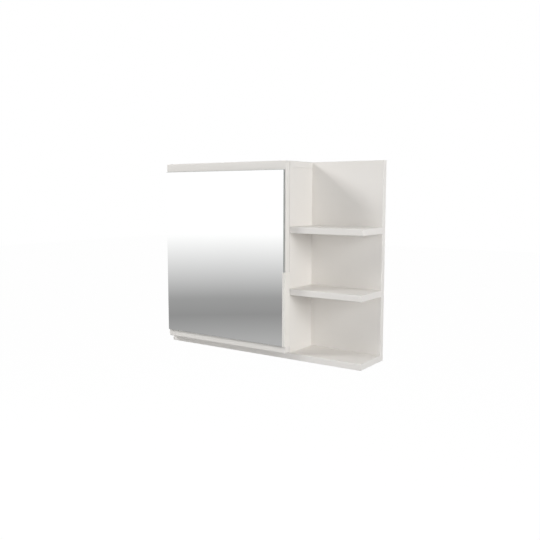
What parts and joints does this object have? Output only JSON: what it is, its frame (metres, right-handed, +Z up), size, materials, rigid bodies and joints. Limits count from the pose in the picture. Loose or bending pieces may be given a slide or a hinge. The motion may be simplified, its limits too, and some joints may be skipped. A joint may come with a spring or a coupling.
{
  "type": "mirror cabinet",
  "caption": "Wall-hung white cupboard with a mirror door on concealed hinges and an open shelf bay on its right side.",
  "frame": {"origin": "on the wall plane, at the middle of the width, level with the underside of the bottom panel", "axes": "+X to the right seen from the front, -Y out of the wall towards the viewer, +Z up"},
  "size_m": [0.6, 0.1479, 0.5],
  "materials": {
    "white_laminate": "white melamine-faced board, fine satin grain",
    "edge_band": "white edge band, satin",
    "thin_back": "thin white lacquered fibreboard",
    "mirror": "silvered glass",
    "foam_tape": "double-sided foam tape",
    "white_lacquer": "satin white coating",
    "white_plastic": "moulded white plastic",
    "clear_rubber": "clear soft pad",
    "beech": "fluted beech dowel",
    "zinc": "zinc plated",
    "nickel": "nickel plated"
  },
  "bodies": {
    "cabinet": {"left_side_panel": "white_laminate", "partition_panel": "white_laminate", "top_panel": "white_laminate", "bottom_panel": "white_laminate", "bay_back_board": "white_laminate", "lower_open_shelf": "white_laminate", "upper_open_shelf": "white_laminate", "lower_inner_shelf": "white_laminate", "upper_inner_shelf": "white_laminate", "carcass_edge_bands": "edge_band", "open_shelf_edge_bands": "edge_band", "back_board_edge_bands": "edge_band", "cupboard_back_panel": "thin_back", "screw_caps": "white_plastic", "left_hanger_housing": "white_plastic", "right_hanger_housing": "white_plastic", "dowels": "beech", "cam_housings": "zinc", "cam_bolts": "zinc", "lower_shelf_pins": "zinc", "upper_shelf_pins": "zinc", "open_shelf_screws": "zinc", "back_board_screws": "zinc", "left_wall_plate": "zinc", "right_wall_plate": "zinc", "left_hanger_hook": "zinc", "right_hanger_hook": "zinc", "left_hanger_screws": "zinc", "right_hanger_screws": "zinc", "lower_plate_screws": "zinc", "upper_plate_screws": "zinc", "lower_mounting_plate": "zinc", "upper_mounting_plate": "zinc", "lower_arm_pins": "nickel", "upper_arm_pins": "nickel", "lower_hinge_arm": "nickel", "upper_hinge_arm": "nickel", "lower_arm_screws": "nickel", "upper_arm_screws": "nickel"},
    "inner_links": {"lower_inner_link": "nickel", "upper_inner_link": "nickel"},
    "outer_links": {"lower_outer_link": "nickel", "upper_outer_link": "nickel"},
    "door": {"door_board": "white_laminate", "mirror_glass": "mirror", "mirror_tape": "foam_tape", "door_grip": "white_lacquer", "grip_screws": "white_lacquer", "door_bumpers": "clear_rubber", "lower_hinge_cup": "nickel", "upper_hinge_cup": "nickel", "lower_cup_screws": "nickel", "upper_cup_screws": "nickel", "lower_cup_pins": "nickel", "upper_cup_pins": "nickel"}
  },
  "joints": [
    {"name": "inner_link_swing", "type": "hinge", "parent": "cabinet", "child": "inner_links", "pos_m": [-0.27639, -0.12906, 0.243], "axis": [0, 0, 1], "range_deg": [0, 74.97]},
    {"name": "door_swing", "type": "hinge", "parent": "inner_links", "child": "door", "pos_m": [-0.29076, -0.12765, 0.243], "axis": [0, 0, -1], "range_deg": [0, 164.98]},
    {"name": "outer_link_swing", "type": "hinge", "parent": "cabinet", "child": "outer_links", "pos_m": [-0.258, -0.11781, 0.243], "axis": [0, 0, 1], "range_deg": [0, 41.68]}
  ],
  "couplings": [
    {"joint": "door_swing", "follows": "inner_link_swing", "ratio": 2.2005},
    {"joint": "outer_link_swing", "follows": "inner_link_swing", "ratio": 0.55582}
  ]
}
